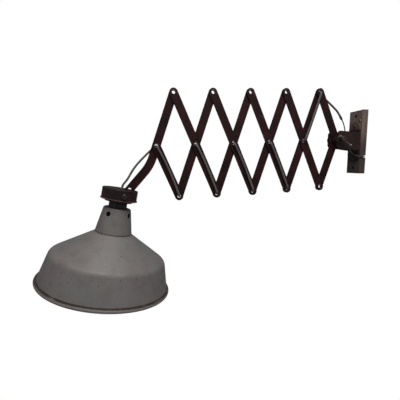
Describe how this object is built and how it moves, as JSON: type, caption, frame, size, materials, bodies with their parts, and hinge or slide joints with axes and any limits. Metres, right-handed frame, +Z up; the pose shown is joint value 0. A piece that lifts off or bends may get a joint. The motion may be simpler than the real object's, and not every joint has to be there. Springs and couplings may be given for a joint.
{
  "type": "accordion wall lamp",
  "caption": "Wall lamp on a long folding scissor arm of riveted steel strips, woven with grey flex, carrying a grey spun aluminium shade; wooden wall board and steel bracket with clamp nut.",
  "frame": {"origin": "centre of the wall board's back face, in the wall plane", "axes": "+X into the wall (outward normal of the board's back), arm along -X, +Z up, front of the picture at -Y"},
  "size_m": [0.8212, 0.3046, 0.5024],
  "materials": {
    "strip_paint": "worn oxblood paint on steel strip, dulled and chipped",
    "bracket_paint": "dark brown paint with rust showing through",
    "shade_metal": "spun sheet, dull grey, mottled and speckled, grimy brown at seams and edges",
    "cap_paint": "dark brown worn enamel, paler at the edge",
    "worn_steel": "dark, greasy, worn bright on the edges",
    "rusty_steel": "reddish brown rust on screws and bolts",
    "brass": "dull, tarnished",
    "board_wood": "bare weathered wood, pinkish brown, dark end grain",
    "bakelite": "dark brown moulding",
    "porcelain": "glazed porcelain",
    "flex_braid": "grey cotton braid, dusty",
    "rubber_black": "black rubber",
    "bulb_glass": "clear glass"
  },
  "bodies": {
    "wall_mount": {"wall_board": "board_wood", "wall_bracket": "bracket_paint", "bracket_screws": "rusty_steel", "brass_screw": "brass", "terminal_block": "porcelain", "lead_clip": "rusty_steel", "supply_lead": "rubber_black", "clamp_bolt": "worn_steel", "clamp_washers": "rusty_steel"},
    "clamp_screw": {"clamp_nut": "worn_steel", "tommy_bar": "worn_steel"},
    "front_half_wall": {"front_half_strip_wall": "strip_paint", "rivet_front_half_wall": "worn_steel", "flex_loop_wall": "flex_braid"},
    "rear_half_wall": {"rear_half_strip_wall": "strip_paint", "pivot_bush": "worn_steel", "spacer_sleeves": "worn_steel", "flex_ferrule": "rubber_black", "lead_loop": "rubber_black"},
    "rear_4": {"rear_strip_4": "strip_paint", "flex_rear_4": "flex_braid", "flex_front_top": "flex_braid"},
    "front_4": {"front_strip_4": "strip_paint", "rivets_front_strip_4": "worn_steel"},
    "carrier": {"lamp_carrier": "strip_paint", "flex_loop_lamp": "flex_braid"},
    "front_half_lamp": {"front_half_strip_lamp": "strip_paint", "rivets_front_half_lamp": "worn_steel", "flex_front_1": "flex_braid"},
    "head": {"cap": "cap_paint", "cap_base": "cap_paint", "head_bolt": "rusty_steel", "head_nut": "rusty_steel", "head_spacers": "worn_steel", "cord_grommet": "rubber_black", "lampholder": "bakelite", "screw_shell": "brass", "centre_contact": "brass", "lock_nut": "worn_steel", "shade_ring": "bakelite", "shade_collar": "shade_metal", "shade": "shade_metal", "bulb_cap": "brass", "bulb_glass": "bulb_glass"},
    "rear_1": {"rear_strip_1": "strip_paint", "flex_rear_1": "flex_braid"},
    "front_1": {"front_strip_1": "strip_paint", "rivets_front_strip_1": "worn_steel", "flex_front_2": "flex_braid"},
    "rear_2": {"rear_strip_2": "strip_paint", "flex_rear_2": "flex_braid"},
    "front_2": {"front_strip_2": "strip_paint", "rivets_front_strip_2": "worn_steel", "flex_front_3": "flex_braid"},
    "rear_3": {"rear_strip_3": "strip_paint", "flex_rear_3": "flex_braid"},
    "front_3": {"front_strip_3": "strip_paint", "rivets_front_strip_3": "worn_steel", "flex_front_4": "flex_braid"}
  },
  "joints": [
    {"name": "arm_tilt", "type": "hinge", "parent": "wall_mount", "child": "rear_half_wall", "pos_m": [-0.074, 0, 0.006], "axis": [0, 1, 0], "range_deg": [-20, 10], "deforming": ["lead_loop"]},
    {"name": "clamp_turn", "type": "hinge", "parent": "wall_mount", "child": "clamp_screw", "pos_m": [-0.074, 0, 0.006], "axis": [0, 1, 0], "range_deg": [-90, 90]},
    {"name": "fold", "type": "hinge", "parent": "rear_half_wall", "child": "front_4", "pos_m": [-0.11559, 0, -0.11717], "axis": [0, -1, 0], "range_deg": [-32, 76], "deforming": ["flex_loop_wall"]},
    {"name": "front_half_turn", "type": "hinge", "parent": "rear_half_wall", "child": "front_half_wall", "pos_m": [-0.074, 0, 0.006], "axis": [0, -1, 0], "range_deg": [-32.5, 76.5]},
    {"name": "top_5_turn", "type": "hinge", "parent": "front_half_wall", "child": "rear_4", "pos_m": [-0.12659, 0, 0.12489], "axis": [0, -1, 0], "range_deg": [-76.5, 32.5]},
    {"name": "top_4_turn", "type": "hinge", "parent": "front_4", "child": "rear_3", "pos_m": [-0.22076, 0, 0.12061], "axis": [0, -1, 0], "range_deg": [-76.5, 32.5]},
    {"name": "low_4_turn", "type": "hinge", "parent": "rear_4", "child": "front_3", "pos_m": [-0.20977, 0, -0.12144], "axis": [0, -1, 0], "range_deg": [-32.5, 76.5]},
    {"name": "top_3_turn", "type": "hinge", "parent": "front_3", "child": "rear_2", "pos_m": [-0.31494, 0, 0.11634], "axis": [0, -1, 0], "range_deg": [-76.5, 32.5]},
    {"name": "low_3_turn", "type": "hinge", "parent": "rear_3", "child": "front_2", "pos_m": [-0.30395, 0, -0.12572], "axis": [0, -1, 0], "range_deg": [-32.5, 76.5]},
    {"name": "top_2_turn", "type": "hinge", "parent": "front_2", "child": "rear_1", "pos_m": [-0.40912, 0, 0.11206], "axis": [0, -1, 0], "range_deg": [-76.5, 32.5]},
    {"name": "low_2_turn", "type": "hinge", "parent": "rear_2", "child": "front_1", "pos_m": [-0.39813, 0, -0.13], "axis": [0, -1, 0], "range_deg": [-32.5, 76.5]},
    {"name": "low_1_turn", "type": "hinge", "parent": "rear_1", "child": "front_half_lamp", "pos_m": [-0.49231, 0, -0.13427], "axis": [0, -1, 0], "range_deg": [-32.5, 76.5]},
    {"name": "middle_0_turn", "type": "hinge", "parent": "front_half_lamp", "child": "carrier", "pos_m": [-0.5449, 0, -0.01538], "axis": [0, -1, 0], "range_deg": [-76.5, 32.5]},
    {"name": "head_tilt", "type": "hinge", "parent": "carrier", "child": "head", "pos_m": [-0.61983, 0, -0.12906], "axis": [0, 1, 0], "range_deg": [-10, 38], "deforming": ["flex_loop_lamp"]}
  ],
  "couplings": [
    {"joint": "front_half_turn", "follows": "fold", "ratio": 1},
    {"joint": "top_5_turn", "follows": "fold", "ratio": -1},
    {"joint": "top_4_turn", "follows": "fold", "ratio": -1},
    {"joint": "low_4_turn", "follows": "fold", "ratio": 1},
    {"joint": "top_3_turn", "follows": "fold", "ratio": -1},
    {"joint": "low_3_turn", "follows": "fold", "ratio": 1},
    {"joint": "top_2_turn", "follows": "fold", "ratio": -1},
    {"joint": "low_2_turn", "follows": "fold", "ratio": 1},
    {"joint": "low_1_turn", "follows": "fold", "ratio": 1},
    {"joint": "middle_0_turn", "follows": "fold", "ratio": -1}
  ]
}
